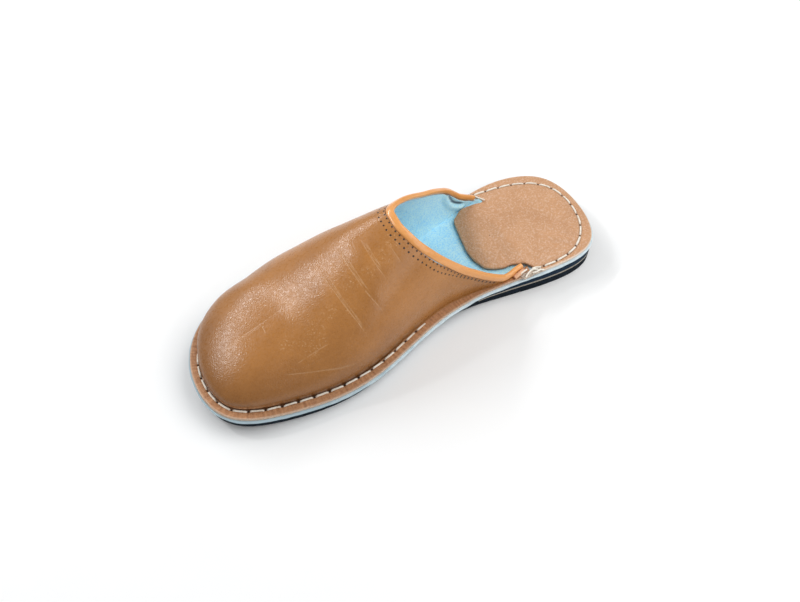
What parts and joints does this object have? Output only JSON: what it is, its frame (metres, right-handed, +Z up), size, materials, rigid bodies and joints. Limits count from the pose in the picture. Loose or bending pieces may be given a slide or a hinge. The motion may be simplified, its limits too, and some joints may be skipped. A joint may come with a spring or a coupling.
{
  "type": "babouche slipper",
  "caption": "Backless leather slipper, right foot: hollow one-piece upper sewn out onto a layered sole, rolled collar binding, padded heel seat and blue suede lining.",
  "frame": {"origin": "on the floor under the middle of the sole's outline", "axes": "+X towards the toe along the sole, +Y towards the inner (medial) side of this right shoe, +Z up"},
  "size_m": [0.2776, 0.1077, 0.0726],
  "materials": {
    "black_rubber": "matt, fine texture",
    "layer_leather": "raw cut edge",
    "wedge_rubber": "matt, trimmed edge",
    "white_board": "matt pressed board",
    "blue_suede": "suede",
    "tan_leather": "semi-gloss, fine pebbled grain",
    "binding_leather": "glossy, smooth",
    "pad_leather": "satin, pebbled grain"
  },
  "bodies": {
    "root": {"outsole": "black_rubber", "heel_layer": "layer_leather", "heel_wedge": "wedge_rubber", "midsole": "white_board", "insole": "blue_suede", "upper": "tan_leather", "collar_binding": "binding_leather", "heel_pad": "pad_leather"}
  },
  "joints": []
}
